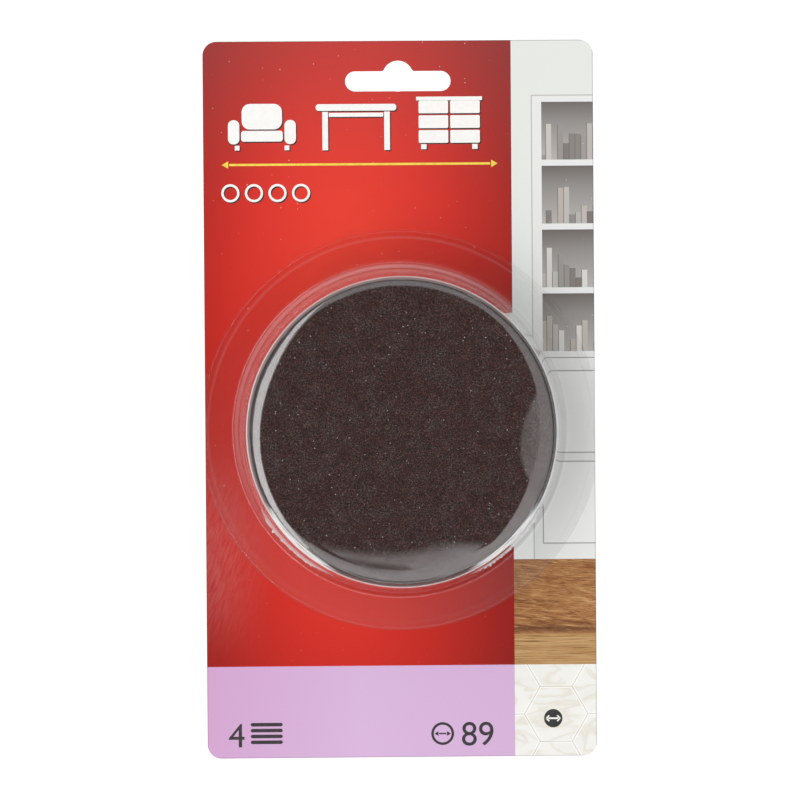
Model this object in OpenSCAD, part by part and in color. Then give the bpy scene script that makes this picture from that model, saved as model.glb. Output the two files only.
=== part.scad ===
// Carded blister pack of four round felt furniture sliders.
// The pack lies on its back: X runs across the card, Y up the card towards the hang slot
// and Z out of the printed face. The origin is the centre of the card's back.

/* [Card] */
// Width of the backing card
card_w = 116; // [112:0.5:150]
// Height of the backing card
card_h = 213.2; // [190:0.1:260]
// Thickness of the coated board
card_t = 0.6; // [0.3:0.05:1.2]
// Radius of the card's corners
card_corner_r = 4.1; // [0.5:0.1:10]

/* [Hang slot] */
// Length of the slot from end to end
slot_w = 31.4; // [24:0.1:40]
// Height of the slot's straight part, which ends in half rounds
slot_h = 6; // [4.5:0.1:8]
// Board left above the slot's straight part
slot_margin = 9; // [7:0.1:16]
// Radius of the round notch over the slot's middle
notch_r = 4.6; // [3.5:0.1:6]
// Rise of the notch above the slot's straight part
notch_rise = 3.1; // [2:0.05:4]
// Rounding of the two corners between notch and slot
notch_fillet_r = 0.9; // [0.3:0.1:1.5]

/* [Slider] */
// Diameter of one slider
slider_d = 88.9; // [70:0.1:95]
// Thickness of the felt sole
felt_t = 3; // [1.5:0.1:5]
// Rounding of the felt's running edge
felt_edge_r = 2; // [0.4:0.1:3]
// Set-back of the felt from the shell's outside
felt_inset = 0.3; // [0:0.1:2]
// Thickness of the adhesive films
bond_t = 0.2; // [0.1:0.05:0.5]
// Set-back of each adhesive film from the edge of what it holds
bond_inset = 0.5; // [0.1:0.1:3]
// Thickness of the shell's floor
floor_t = 1.4; // [0.8:0.1:3]
// Thickness of the shell's rim
rim_w = 2.2; // [1.2:0.1:4]
// Rounding of the rim's two lower edges
rim_edge_r = 0.6; // [0.2:0.05:1]
// Depth of the grip pad's face inside the rim
recess_depth = 1; // [0.4:0.1:2]
// Thickness of the grip pad
pad_t = 1.8; // [1:0.1:4]
// Gap between the grip pad and the rim
pad_gap = 0.15; // [0.05:0.05:0.5]
// Rounding of the grip pad's lower edge
pad_edge_r = 0.4; // [0.1:0.05:0.8]
// Spacing of the ring grooves in the grip pad's face
groove_pitch = 7; // [4:0.5:12]
// Width of each ring groove
groove_w = 1.2; // [0.5:0.1:2]
// Depth of each ring groove
groove_depth = 0.5; // [0.2:0.05:0.8]

/* [Blister] */
// Thickness of the clear film
film_t = 0.35; // [0.2:0.05:0.8]
// Gap round the top slider, where the pocket is narrowest
pocket_gap = 0.6; // [0.4:0.1:2]
// Gap between the top slider's felt and the pocket's front
front_gap = 0.6; // [0.3:0.1:2]
// Slope of the pocket's wall, in degrees
wall_draft = 5.5; // [2:0.5:8]
// Outer rounding between the pocket's wall and front
shoulder_r = 3; // [1.5:0.1:4]
// Rounding between the pocket's wall and the flange
base_fillet_r = 1.9; // [0.5:0.1:3]
// How far the round flange would pass the card's sides before it is trimmed
flange_overrun = 1.9; // [0.2:0.1:3]
// Width of the step from the sealed band up to the lip
step_w = 0.8; // [0.5:0.1:2]
// Rise of the unsealed lip above the sealed band
lip_rise = 0.35; // [0.15:0.05:0.8]
// Width of the lip outside the step
lip_w = 1.4; // [0.5:0.1:4]
// Set-back of the trimmed flange from the card's sides
flange_inset = 0.25; // [0:0.05:2]
// Height of the pocket's centre above the card's bottom edge
pocket_from_bottom = 97.5; // [80:0.1:120]

/* [Hidden] */
$fn = 96;
arc_steps = 8;
slider_count = 4;
// Overshoot of a cutting shape past the faces that it cuts
cut = 1;
// Least straight edge left beside a rounding
least_flat = 0.2;
PIECES = ["felt_sole", "felt_bond", "shell", "pad_bond", "grip_pad"];

// Heights inside one slider, from the rim's lower edge
pad_top = recess_depth + pad_t;
floor_bottom = pad_top + bond_t;
shell_top = floor_bottom + floor_t;
felt_bottom = shell_top + bond_t;
slider_t = felt_bottom + felt_t;

// Radii inside one slider
slider_r = slider_d / 2;
rim_inner_r = slider_r - rim_w;
pad_r = rim_inner_r - pad_gap;
felt_r = slider_r - felt_inset;
rim_round = min(rim_edge_r, (rim_w - least_flat) / 2);
felt_round = min(felt_edge_r, felt_t - least_flat);
groove_count = floor((pad_r - groove_w) / groove_pitch);

// Places on the card
pocket_y = pocket_from_bottom - card_h / 2;
slot_top = card_h / 2 - slot_margin;
slot_mid = slot_top - slot_h / 2;
notch_mid = slot_top + notch_rise - notch_r;

// The pocket's section: round centres, and where the wall meets its roundings
pocket_r = slider_r + pocket_gap;
front_inside = card_t + slider_count * slider_t + front_gap;
shoulder_inner_r = shoulder_r - film_t;
shoulder_mid = [pocket_r - shoulder_inner_r, front_inside - shoulder_inner_r];
wall_normal = [cos(wall_draft), sin(wall_draft)];
wall_down = [sin(wall_draft), -cos(wall_draft)];
wall_start = shoulder_mid + shoulder_r * wall_normal;
flange_top = card_t + film_t;
fillet_mid_z = flange_top + base_fillet_r;
wall_length = (wall_start.y + base_fillet_r * wall_normal.y - fillet_mid_z) / -wall_down.y;
fillet_mid = wall_start + wall_length * wall_down + base_fillet_r * wall_normal;
flange_w = card_w - 2 * flange_inset;
flange_r = flange_w / 2 + flange_overrun;
lip_inner_r = flange_r - lip_w;
seal_outer_r = lip_inner_r - step_w;

function slider_node(n, piece) = str("slider_", n, "_", piece);

function arc(mid, r, from, to) = [
    for (i = [0:arc_steps])
        let (angle = from + (to - from) * i / arc_steps)
        mid + r * [cos(angle), sin(angle)]
];

module rounded_rectangle(w, h, r) {
    square([w - 2 * r, h], center = true);
    square([w, h - 2 * r], center = true);
    for (x = [-1, 1], y = [-1, 1])
        translate([x * (w / 2 - r), y * (h / 2 - r)]) circle(r);
}

// Opening left of and below a rounded corner between the notch and the slot's top edge
module notch_corner() {
    corner = [sqrt(notch_r ^ 2 - (slot_top - notch_mid) ^ 2), slot_top];
    round_x = sqrt((notch_r + notch_fillet_r) ^ 2 - (slot_top + notch_fillet_r - notch_mid) ^ 2);
    round_mid = [round_x, slot_top + notch_fillet_r];
    to_notch = [0, notch_mid] - round_mid;
    touch = round_mid + to_notch * notch_fillet_r / norm(to_notch);
    difference() {
        polygon([corner, [round_x, slot_top], round_mid, touch]);
        translate(round_mid) circle(notch_fillet_r);
    }
}

module hang_slot() {
    translate([0, slot_mid]) {
        square([slot_w - slot_h, slot_h], center = true);
        for (side = [-1, 1])
            translate([side * (slot_w - slot_h) / 2, 0]) circle(d = slot_h);
    }
    translate([0, notch_mid]) circle(notch_r);
    notch_corner();
    mirror([1, 0]) notch_corner();
}

// Coated board with a hook slot
module backing_card() {
    color("firebrick")
    linear_extrude(card_t)
    difference() {
        rounded_rectangle(card_w, card_h, card_corner_r);
        hang_slot();
    }
}

// Section of the film from the pocket's front to the flange's lip
module film_section() {
    outside = concat(
        [[0, front_inside + film_t]],
        arc(shoulder_mid, shoulder_r, 90, wall_draft),
        arc(fillet_mid, base_fillet_r, 180 + wall_draft, 270),
        [
            [seal_outer_r, flange_top],
            [lip_inner_r, flange_top + lip_rise],
            [flange_r, flange_top + lip_rise]
        ]
    );
    inside = concat(
        [
            [flange_r, card_t + lip_rise],
            [lip_inner_r, card_t + lip_rise],
            [seal_outer_r, card_t]
        ],
        arc(fillet_mid, base_fillet_r + film_t, 270, 180 + wall_draft),
        arc(shoulder_mid, shoulder_inner_r, wall_draft, 90),
        [[0, front_inside]]
    );
    polygon(concat(outside, inside));
}

// Clear formed film: pocket, sealed band and lip, trimmed at the card's sides
module blister() {
    color("lightcyan", 0.35)
    translate([0, pocket_y, 0])
    intersection() {
        rotate_extrude() film_section();
        translate([-flange_w / 2, -flange_r - cut, 0])
            cube([flange_w, 2 * (flange_r + cut), front_inside + film_t + cut]);
    }
}

// Disc with its upper edge rounded
module felt_sole() {
    round_mid = [felt_r - felt_round, slider_t - felt_round];
    color([0.25, 0.2, 0.19])
    rotate_extrude()
    polygon(concat(
        [[0, felt_bottom], [felt_r, felt_bottom]],
        arc(round_mid, felt_round, 0, 90),
        [[0, slider_t]]
    ));
}

module felt_bond() {
    color("tan")
    translate([0, 0, shell_top])
    cylinder(h = bond_t, r = felt_r - bond_inset);
}

// Shallow cup: floor above, rim reaching down round the grip pad
module shell() {
    color([0.24, 0.17, 0.14])
    rotate_extrude()
    polygon(concat(
        [[0, floor_bottom], [rim_inner_r, floor_bottom]],
        arc([rim_inner_r + rim_round, rim_round], rim_round, 180, 270),
        arc([slider_r - rim_round, rim_round], rim_round, 270, 360),
        [[slider_r, shell_top], [0, shell_top]]
    ));
}

module pad_bond() {
    color("tan")
    translate([0, 0, pad_top])
    cylinder(h = bond_t, r = pad_r - bond_inset);
}

// Foam disc with ring grooves in the face that holds the furniture's foot
module grip_pad() {
    round_mid = [pad_r - pad_edge_r, recess_depth + pad_edge_r];
    color([0.15, 0.13, 0.12])
    rotate_extrude()
    difference() {
        polygon(concat(
            [[0, pad_top], [0, recess_depth]],
            arc(round_mid, pad_edge_r, 270, 360),
            [[pad_r, pad_top]]
        ));
        for (i = [1:groove_count])
            translate([i * groove_pitch - groove_w / 2, recess_depth - cut])
                square([groove_w, groove_depth + cut]);
    }
}

// Puts a slider's piece at its place in the stack, counted from the card
module in_stack(n) {
    translate([0, pocket_y, card_t + (n - 1) * slider_t]) children();
}

backing_card();
blister();
for (n = [1:slider_count]) {
    in_stack(n) felt_sole();
    in_stack(n) felt_bond();
    in_stack(n) shell();
    in_stack(n) pad_bond();
    in_stack(n) grip_pad();
}
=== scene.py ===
"""Retail pack of four round felt furniture sliders: printed card, clear formed blister and the stack in it.

The pack lies on its back. X runs across the card, Y up the card towards the hang slot, Z out of the print.
"""
import math
import random
from functools import partial

import bmesh
import bpy
from mathutils import Euler, Matrix, Vector, noise


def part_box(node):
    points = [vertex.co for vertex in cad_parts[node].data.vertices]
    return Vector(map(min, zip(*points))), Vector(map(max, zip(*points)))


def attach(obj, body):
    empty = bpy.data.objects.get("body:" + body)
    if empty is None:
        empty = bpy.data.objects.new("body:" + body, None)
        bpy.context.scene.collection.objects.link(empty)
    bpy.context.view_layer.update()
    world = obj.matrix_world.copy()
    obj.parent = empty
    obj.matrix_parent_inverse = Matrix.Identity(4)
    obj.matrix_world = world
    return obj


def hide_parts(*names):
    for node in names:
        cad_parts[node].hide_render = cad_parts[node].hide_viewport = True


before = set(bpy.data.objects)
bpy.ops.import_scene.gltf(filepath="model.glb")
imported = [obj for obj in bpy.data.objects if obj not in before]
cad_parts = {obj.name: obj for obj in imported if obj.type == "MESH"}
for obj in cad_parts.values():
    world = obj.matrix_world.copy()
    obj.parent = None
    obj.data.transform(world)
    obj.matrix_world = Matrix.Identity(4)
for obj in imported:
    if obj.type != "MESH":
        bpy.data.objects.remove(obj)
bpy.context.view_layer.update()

MM = 0.001
SLIDERS = (1, 2, 3, 4)

# Places and sizes that the frame gives, in metres
card_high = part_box("backing_card")[1]
film_low, film_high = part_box("blister")
card_face = card_high.z
pocket = Vector((0, (film_low.y + film_high.y) / 2, 0))
slider_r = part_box("slider_4_shell")[1].x

# Blister section
FILM_T = 0.35 * MM
SEAL_LIFT = 0.02 * MM
SHOULDER_R = 1.7 * MM
SHOULDER_INSET = 0.75 * MM
WALL_DRAFT = math.radians(5.5)
BASE_BEVEL_W = 1.6 * MM
BASE_BEVEL_H = 1.45 * MM
CORNER_EASE = 0.35 * MM
STEP_W = 1.2 * MM
LIP_RISE = 0.03 * MM
LIP_W = 1.4 * MM
FILM_TURN_STEPS = 320
# Sags of the pocket's front: middle, reach clockwise and anticlockwise in degrees, inner and outer radius
# and drop in millimetres, how long the sag keeps its width before it tapers, and the share of its width
# over which it sets in
SAGS = (
    (-5, 22, 25, 34.0, 43.4, 0.45, 2.3, 0.11),
    (283, 60, 27, 31.5, 40.5, 0.57, 2.3, 0.55),
    (266, 25, 11, 38.1, 40.4, -0.06, 2.5, 0.5),
    (288, 76, 28, 40.2, 43.5, 0.27, 3.6, 0.12),
    (-22, 61, 102, 39.6, 44.4, 0.57, 1.4, 0.08),
    (90, 100, 90, 42.3, 44.3, 0.15, 2.9, 0.25),
    (159, 44, 100, 40.8, 44.1, 0.83, 1.5, 0.1),
)
SAG_FROM_R = 31.0 * MM
SAG_RING = 0.25 * MM
# Share of a sag's slope that it has once it has set in
SAG_STEP = 0.7
# Marks in the film, in millimetres: radii from the pocket's centre, and the height where the front begins
BEND_R = 44.65
WHITE_LINE_R = 45.22
TEETH_R = 46.1
FOOT_R = 48.0
SEAL_R = 49.5
STEP_R = 57.3
FRONT_Z = 26.0
# Where the pocket's two lower corners lie round its centre, in degrees; the film there carries painted
# highlights
HIGHLIT_CORNERS = (226, 314)

# Felt and foam
FELT_EDGE_R = 2.0 * MM
FELT_RING = 1.1 * MM
FELT_TURN_STEPS = 200
FELT_RELIEF = 0.06 * MM
FIBRE_R = 0.03 * MM
FIBRE_COUNT = 2200
# Shares of rust, dark and pale strands and of white lint, and their lengths in millimetres
FIBRE_SHARES = (0.57, 0.34, 0.04, 0.05)
STRAND_LENGTH = (0.4, 1.6)
LINT = 3
LINT_LENGTH = 0.25
LINT_THICKER = (1.2, 3.4)
PAD_EDGE_R = 0.4 * MM
GROOVE_PITCH = 7 * MM
GROOVE_W = 1.2 * MM
GROOVE_DEPTH = 0.5 * MM
PAD_TURN_STEPS = 160

# Fields of the print, in millimetres on the card
COLUMN_X = 33.6
BAND_Y = -79.3
SKIRT_Y = -47.9
PLANK_Y = -70.1
TILE_SIDE = 9.5
TILE_AT = (45.9, -94.1)
FLOOR_SIGN = (45.0, -95.4)
INK_T = 0.02 * MM
# Height of a numeral as a share of the font's size, and an arrowhead's radius as a share of its side
NUMERAL_SHARE = 0.69
ARROWHEAD_SHARE = 0.577

# The photograph's camera
VIEW_DISTANCE = 1283.1 * MM
VIEW_TURN = (math.radians(0.81), math.radians(1.00), math.radians(0.42))
VIEW_OFFSET = (0.01 * MM, 0.21 * MM)
FRAME_WIDTH = 238.2 * MM
SENSOR_WIDTH = 36

# The light that falls on the pack: even all round, and more from overhead
ROOM_LIGHT = 0.94
EVEN_LIGHT = 0.55 * ROOM_LIGHT
KEY_LIGHT = 1.45 * ROOM_LIGHT
KEY_AT = (0, -0.34, 0.94)
# How bright the room is in the gloss: walls, ceiling, glow along the floor and the dark round the camera
WALL_SHOWN = 0.35
CEILING_SHOWN = (1.28, 1.95)
CEILING_FRONT = (0, -0.9, 0)
GLOW_SHOWN = (0.08, 1.75)
ROOM_BACK = (-0.34, 0.94, 0)
DARK_SHOWN = 0.04
DARK_AT = (math.radians(-0.1), math.radians(-2.1))
DARK_INNER = math.radians(3.4)
DARK_OUTER = math.radians(9.0)
FLOOR_REACH = 3.0
FLOOR_DROP = 0.1 * MM


def linear(colour):
    """An sRGB hex value as linear colour."""
    channels = [int(colour[i:i + 2], 16) / 255 for i in (1, 3, 5)]
    return tuple(c / 12.92 if c <= 0.04045 else ((c + 0.055) / 1.055) ** 2.4 for c in channels) + (1.0,)


def add(tree, kind, inputs=None, stops=None, **settings):
    """Adds a node. An input's value is a node, a socket or a constant.

    A Mix node's inputs go by number: 0 the share, then 2 and 3 numbers, 4 and 5 vectors, 6 and 7 colours."""
    made = tree.nodes.new("ShaderNode" + kind)
    for name, value in settings.items():
        setattr(made, name, value)
    for key, value in (inputs or {}).items():
        if isinstance(value, bpy.types.Node):
            value = next(socket for socket in value.outputs if socket.enabled)
        if isinstance(value, bpy.types.NodeSocket):
            tree.links.new(value, made.inputs[key])
        else:
            made.inputs[key].default_value = linear(value) if isinstance(value, str) else value
    for i, (position, colour) in enumerate(stops or ()):
        ends = made.color_ramp.elements
        stop = ends[0] if i == 0 else ends[1] if i == 1 else ends.new(position)
        stop.position = position
        stop.color = linear(colour)
    return made


def new_material(name):
    """An empty node material, and the function that adds nodes to it."""
    made = bpy.data.materials.new(name)
    made.use_nodes = True
    made.node_tree.nodes.clear()
    return made, partial(add, made.node_tree)


def rectangle(put, x, y, left, right, low, high):
    """1 inside a rectangle of the print, in millimetres."""
    across = put("Math", {0: x, 1: (left + right) / 2, 2: (right - left) / 2}, operation="COMPARE")
    along = put("Math", {0: y, 1: (low + high) / 2, 2: (high - low) / 2}, operation="COMPARE")
    return put("Math", {0: across, 1: along}, operation="MULTIPLY")


def red_ground(put, place):
    """Red that fades towards the panel's sides."""
    centre = Vector((-15.2, 14.8, 0))
    reach = Vector((65.5, 170, 1000))
    scale = [1 / (size * MM) for size in reach]
    shift = [-c * MM * s for c, s in zip(centre, scale)]
    fade = put("Mapping", {"Vector": place, "Scale": scale, "Location": shift})
    away = put("VectorMath", {0: fade}, operation="LENGTH")
    return put("ValToRGB", {"Fac": away.outputs["Value"]}, stops=[
        (0.0, "#f04232"), (0.95, "#871817"), (0.22, "#ed3f2f"), (0.3, "#e5392b"), (0.5, "#d22e24"),
        (0.6, "#c3281f"), (0.7, "#b3241c"), (0.8, "#a01f19")])


def wood_strip(put, place, y):
    """Two printed planks: a red-brown one whose wavy grain falls to the right, over a straight, paler one."""
    lower = put("Math", {0: y, 1: PLANK_Y}, operation="LESS_THAN")
    fallen = put("Mapping", {"Vector": place, "Rotation": (0, 0, math.radians(6))})
    straight = put("Mapping", {"Vector": place, "Scale": (0.3, 1, 1)})
    grain = put("Mix", {0: lower, 4: fallen, 5: straight}, data_type="VECTOR")
    # Figure 1.6 mm deep and 11 mm long, and lines 0.3 mm deep and 4 mm long, both three times longer below
    band_at = put("Mapping", {"Vector": grain, "Scale": (1 / (11 * MM), 1 / (1.6 * MM), 1)})
    band = put("TexNoise", {"Vector": band_at, "Scale": 1.0, "Detail": 4.0, "Roughness": 0.65,
                            "Distortion": 1.4})
    line_at = put("Mapping", {"Vector": grain, "Scale": (1 / (4 * MM), 1 / (0.3 * MM), 1)})
    line = put("TexNoise", {"Vector": line_at, "Scale": 1.0, "Detail": 3.0, "Roughness": 0.65,
                            "Distortion": 0.9})
    brown = put("ValToRGB", {"Fac": band}, stops=[
        (0.3, "#7d4b2b"), (0.7, "#c29465"), (0.44, "#9b673d"), (0.56, "#ac7a4b")])
    tan = put("ValToRGB", {"Fac": band}, stops=[(0.3, "#9e7340"), (0.7, "#c7a271"), (0.5, "#b38958")])
    planks = put("Mix", {0: lower, 6: brown, 7: tan}, data_type="RGBA")
    dark = put("MapRange", {"Value": line, "From Min": 0.48, "From Max": 0.33, "To Max": 0.75})
    planks = put("Mix", {0: dark, 6: planks, 7: "#5d3820"}, data_type="RGBA")
    pale = put("MapRange", {"Value": line, "From Min": 0.55, "From Max": 0.7, "To Max": 0.55})
    planks = put("Mix", {0: pale, 6: planks, 7: "#d8b183"}, data_type="RGBA")
    # The dark heart of the upper plank, just over the joint
    slope = put("MapRange", {"Value": band, "To Min": -2.2, "To Max": 2.2})
    off_heart = put("Math", {0: y, 1: slope}, operation="ADD")
    off_heart = put("Math", {0: off_heart, 1: PLANK_Y + 1.6}, operation="SUBTRACT")
    off_heart = put("Math", {0: off_heart}, operation="ABSOLUTE")
    heart = put("MapRange", {"Value": off_heart, "From Min": 0.2, "From Max": 1.7, "To Min": 0.75,
                             "To Max": 0.0})
    heart = put("Math", {0: heart, 1: lower}, operation="SUBTRACT", use_clamp=True)
    return put("Mix", {0: heart, 6: planks, 7: "#5a321f"}, data_type="RGBA")


def hexagon_tile(put, place):
    """White marble in flat-topped hexagons with thin grout."""
    cell = Vector((3 * TILE_SIDE, math.sqrt(3) * TILE_SIDE, 1))
    at = put("Mapping", {"Vector": place, "Scale": (1 / MM,) * 3, "Location": (-TILE_AT[0], -TILE_AT[1], 0)})
    shifted = put("VectorMath", {0: at, 1: cell / 2}, operation="ADD")
    near = put("VectorMath", {0: at, 1: cell / 2, 2: -cell / 2}, operation="WRAP")
    other = put("VectorMath", {0: shifted, 1: cell / 2, 2: -cell / 2}, operation="WRAP")
    lengths = [put("VectorMath", {0: point}, operation="LENGTH").outputs["Value"] for point in (near, other)]
    nearer = put("Math", {0: lengths[0], 1: lengths[1]}, operation="LESS_THAN")
    centred = put("Mix", {0: nearer, 4: other, 5: near}, data_type="VECTOR")
    folded = put("VectorMath", {0: centred}, operation="ABSOLUTE")
    flat = put("VectorMath", {0: folded, 1: (0, 1, 0)}, operation="DOT_PRODUCT")
    slant = put("VectorMath", {0: folded, 1: (math.sqrt(3) / 2, 0.5, 0)}, operation="DOT_PRODUCT")
    reach = put("Math", {0: flat.outputs["Value"], 1: slant.outputs["Value"]}, operation="MAXIMUM")
    # Grout that darkens over 0.2 mm, beside a lit chamfer
    edge = math.sqrt(3) / 2 * TILE_SIDE
    grout = put("MapRange", {"Value": reach, "From Min": edge - 0.22, "From Max": edge - 0.05, "To Max": 0.5})
    shine = put("Math", {0: reach, 1: edge - 0.34, 2: 0.1}, operation="COMPARE")
    # Veins about 17 mm long and 9 mm apart
    vein_at = put("Mapping", {"Vector": place, "Scale": (0.06 / MM, 0.11 / MM, 1), "Rotation": (0, 0, 0.6)})
    vein = put("TexNoise", {"Vector": vein_at, "Detail": 4.0, "Distortion": 1.2, "Scale": 1.0})
    marble = put("ValToRGB", {"Fac": vein}, stops=[
        (0.3, "#e7e6e1"), (0.7, "#eeede8"), (0.44, "#ebeae5"), (0.5, "#e2ddd2"), (0.56, "#ecebe6")])
    marble = put("Mix", {0: shine, 6: marble, 7: "#fbfaf7"}, data_type="RGBA")
    return put("Mix", {0: grout, 6: marble, 7: "#b9b3a9"}, data_type="RGBA")


def bookcase_picture(put, x, y):
    """A white bookcase against a pale wall: books of random height in open bays over two plain drawers."""
    # Its sizes in millimetres on the card
    end = 70
    side = 39.8
    back = 42.6
    top = 90.0
    base = 12.0
    pitch = 19.0
    board = 1.8
    book_w = 1.75
    drawer_h = 24
    seam_w = 0.35
    wall = put("MapRange", {"Value": y, "From Min": SKIRT_Y, "From Max": 100.0})
    wall = put("Mix", {0: wall, 6: "#e9ecea", 7: "#dfe1dc"}, data_type="RGBA")
    edge = rectangle(put, x, y, side - 0.3, end, SKIRT_Y, top + 0.3)
    case = rectangle(put, x, y, side, end, SKIRT_Y, top)
    picture = put("Mix", {0: edge, 6: wall, 7: "#b3b2af"}, data_type="RGBA")
    picture = put("Mix", {0: case, 6: picture, 7: "#e3e4e2"}, data_type="RGBA")
    # Drawers: thin grey seams round paler fronts
    for foot in (-43.0, -16.0):
        seam = rectangle(put, x, y, back - seam_w, end, foot - seam_w, foot + drawer_h + seam_w)
        drawer = rectangle(put, x, y, back, end, foot, foot + drawer_h)
        picture = put("Mix", {0: seam, 6: picture, 7: "#9f9e9c"}, data_type="RGBA")
        picture = put("Mix", {0: drawer, 6: picture, 7: "#e6e7e5"}, data_type="RGBA")
    inside = rectangle(put, x, y, back, end, base, top - board)
    from_top = put("Math", {0: top - board, 1: y}, operation="SUBTRACT")
    row = put("Math", {0: from_top, 1: pitch}, operation="DIVIDE")
    shelf = put("Math", {0: row}, operation="FLOOR")
    down = put("Math", {0: row}, operation="FRACT")
    bay = put("Math", {0: down, 1: 1 - board / pitch}, operation="LESS_THAN")
    bay = put("Math", {0: bay, 1: inside}, operation="MULTIPLY")
    shade = put("ValToRGB", {"Fac": down}, stops=[(0.0, "#6b6560"), (0.9, "#b0adab"), (0.3, "#8d8986")])
    picture = put("Mix", {0: bay, 6: picture, 7: shade}, data_type="RGBA")
    column = put("Math", {0: x, 1: book_w}, operation="DIVIDE")
    spine = put("Math", {0: column}, operation="FLOOR")
    across = put("Math", {0: column}, operation="FRACT")
    which = put("CombineXYZ", {"X": spine, "Y": shelf})
    chance = put("TexWhiteNoise", {"Vector": which}, noise_dimensions="2D")
    tall = put("MapRange", {"Value": chance.outputs["Value"], "To Min": -0.15, "To Max": 0.62})
    low_enough = put("Math", {0: 1 - board / pitch, 1: tall}, operation="SUBTRACT")
    book = put("Math", {0: down, 1: low_enough}, operation="GREATER_THAN")
    book = put("Math", {0: book, 1: bay}, operation="MULTIPLY")
    tone = put("SeparateColor", {"Color": chance.outputs["Color"]})
    cover = put("ValToRGB", {"Fac": tone.outputs["Green"]}, stops=[
        (0.0, "#77716c"), (1.0, "#d6d4d0"), (0.35, "#96928f"), (0.6, "#bfbcb9"), (0.8, "#ada399")])
    gap = put("Math", {0: across, 1: 0.1}, operation="LESS_THAN")
    cover = put("Mix", {0: gap, 6: cover, 7: "#6b6560"}, data_type="RGBA")
    return put("Mix", {0: book, 6: picture, 7: cover}, data_type="RGBA")


def printed_board():
    """Bleached board, offset printed and varnished: even gloss, fine dust, pale cut edges, plain back."""
    made, put = new_material("varnished_printed_board")
    place = put("TexCoord").outputs["Object"]
    in_mm = put("Mapping", {"Vector": place, "Scale": (1 / MM,) * 3})
    axes = put("SeparateXYZ", {"Vector": in_mm})
    x, y, z = axes.outputs["X"], axes.outputs["Y"], axes.outputs["Z"]

    # Painted reflection: a grey veil that makes the red greyer towards the card's top
    colour = red_ground(put, place)
    painted_veil = put("MapRange", {"Value": y, "From Min": 60.0, "From Max": 104.0, "To Max": 0.3})
    colour = put("Mix", {0: painted_veil, 6: colour, 7: "#86403e"}, data_type="RGBA")
    # A soft painted sheen at the panel's lower left, in brushed strokes 0.7 mm apart and 5 mm long that lean
    # right
    leaning = put("Mapping", {"Vector": place, "Rotation": (0, 0, math.radians(20))})
    streak_at = put("Mapping", {"Vector": leaning, "Scale": (1 / (0.7 * MM), 1 / (5 * MM), 1)})
    streak = put("TexNoise", {"Vector": streak_at, "Scale": 1.0, "Detail": 3.0, "Roughness": 0.6,
                              "Distortion": 0.5})
    streak = put("MapRange", {"Value": streak, "From Min": 0.3, "From Max": 0.7, "To Min": 0.04,
                              "To Max": 0.15})
    beside = put("MapRange", {"Value": x, "From Min": -36.0, "From Max": -56.0},
                 interpolation_type="SMOOTHSTEP")
    off_patch = put("Math", {0: y, 1: -45.0}, operation="SUBTRACT")
    off_patch = put("Math", {0: off_patch}, operation="ABSOLUTE")
    below = put("MapRange", {"Value": off_patch, "From Min": 36.0, "From Max": 4.0},
                interpolation_type="SMOOTHSTEP")
    painted_sheen = put("Math", {0: streak, 1: beside}, operation="MULTIPLY")
    painted_sheen = put("Math", {0: painted_sheen, 1: below}, operation="MULTIPLY")
    colour = put("Mix", {0: painted_sheen, 6: colour, 7: "#e9b3b3"}, data_type="RGBA")

    # Lilac band with a slow change of tone across the card
    across = put("MapRange", {"Value": x, "From Min": -58.75, "From Max": COLUMN_X})
    lilac = put("ValToRGB", {"Fac": across}, stops=[(0.0, "#cea1ca"), (1.0, "#d1add3"), (0.5, "#d5b2d8")])
    in_band = put("Math", {0: y, 1: BAND_Y}, operation="LESS_THAN")
    colour = put("Mix", {0: in_band, 6: colour, 7: lilac}, data_type="RGBA")

    picture = bookcase_picture(put, x, y)
    on_floor = put("Math", {0: y, 1: SKIRT_Y}, operation="LESS_THAN")
    picture = put("Mix", {0: on_floor, 6: picture, 7: wood_strip(put, place, y)}, data_type="RGBA")
    picture = put("Mix", {0: in_band, 6: picture, 7: hexagon_tile(put, place)}, data_type="RGBA")
    in_column = put("Math", {0: x, 1: COLUMN_X}, operation="GREATER_THAN")
    colour = put("Mix", {0: in_column, 6: colour, 7: picture}, data_type="RGBA")

    # Dust specks up to 0.33 mm across, one to about each 8 mm square, fainter low on the card
    dust = put("TexVoronoi", {"Vector": in_mm, "Scale": 0.4}, voronoi_dimensions="2D")
    lot = put("SeparateColor", {"Color": dust.outputs["Color"]})
    reach = put("MapRange", {"Value": lot.outputs["Red"], "From Min": 0.9, "From Max": 1.0, "To Max": 0.065})
    speck = put("Math", {0: dust.outputs["Distance"], 1: reach}, operation="LESS_THAN")
    dusty = put("MapRange", {"Value": y, "From Min": -50.0, "From Max": -10.0, "To Min": 0.12,
                             "To Max": 0.55})
    speck = put("Math", {0: speck, 1: dusty}, operation="MULTIPLY")
    colour = put("Mix", {0: speck, 6: colour, 7: "#f3e9e6"}, data_type="RGBA")

    # Painted shade: a dark line 0.2 mm wide along the card's cut edge
    outer = [put("Math", {0: axis}, operation="ABSOLUTE") for axis in (x, y)]
    painted_edge_shade = [put("Math", {0: far, 1: size / MM - 0.2}, operation="GREATER_THAN")
               for far, size in zip(outer, card_high)]
    painted_edge_shade = put("Math", {0: painted_edge_shade[0], 1: painted_edge_shade[1]}, operation="MAXIMUM")
    painted_edge_shade = put("Math", {0: painted_edge_shade, 1: 0.45}, operation="MULTIPLY")
    colour = put("Mix", {0: painted_edge_shade, 6: colour, 7: "#4a3c3c"}, data_type="RGBA")

    # Bare board below the printed face: pale cut edges and a greyer back
    fibre = put("TexNoise", {"Vector": in_mm, "Scale": 0.8, "Detail": 6.0})
    board = put("ValToRGB", {"Fac": fibre}, stops=[(0.3, "#dcd9d0"), (0.7, "#eae7de")])
    printed = put("Math", {0: z, 1: card_face / MM - 0.01}, operation="GREATER_THAN")
    colour = put("Mix", {0: printed, 6: board, 7: colour}, data_type="RGBA")

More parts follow.
